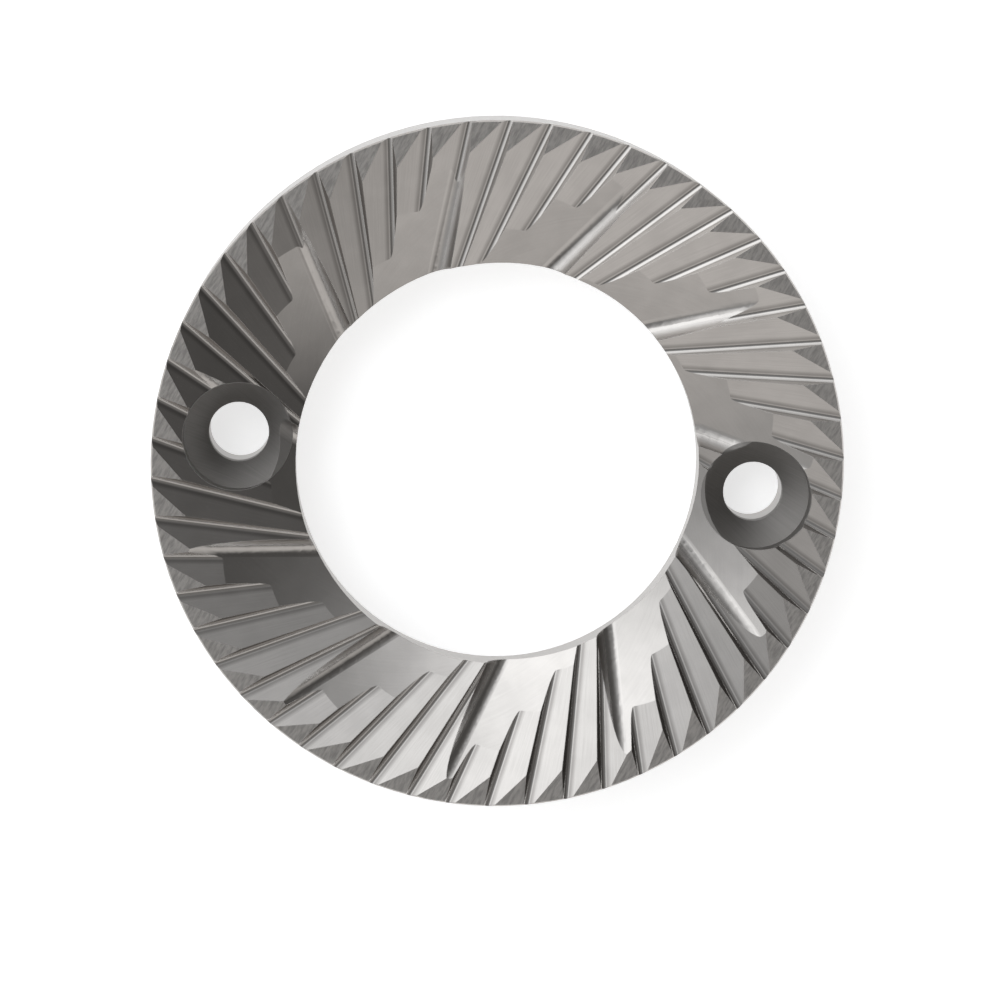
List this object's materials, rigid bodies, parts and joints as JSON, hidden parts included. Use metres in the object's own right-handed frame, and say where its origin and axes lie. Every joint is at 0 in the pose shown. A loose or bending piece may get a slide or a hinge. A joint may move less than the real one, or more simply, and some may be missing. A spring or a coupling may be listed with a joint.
{
  "type": "coffee grinder burr",
  "caption": "Flat ring burr of a coffee grinder: radial cutting teeth with deep breaker grooves on one face, a wide bore, countersunk screw holes and a plain back.",
  "frame": {"origin": "centre of the back face", "axes": "+Z along the ring's axis, out of the toothed face; +X through a screw hole"},
  "size_m": [0.064, 0.064, 0.0085],
  "materials": {
    "ground_steel": "satin, ground and hardened tool steel"
  },
  "bodies": {
    "root": {"burr": "ground_steel"}
  },
  "joints": []
}
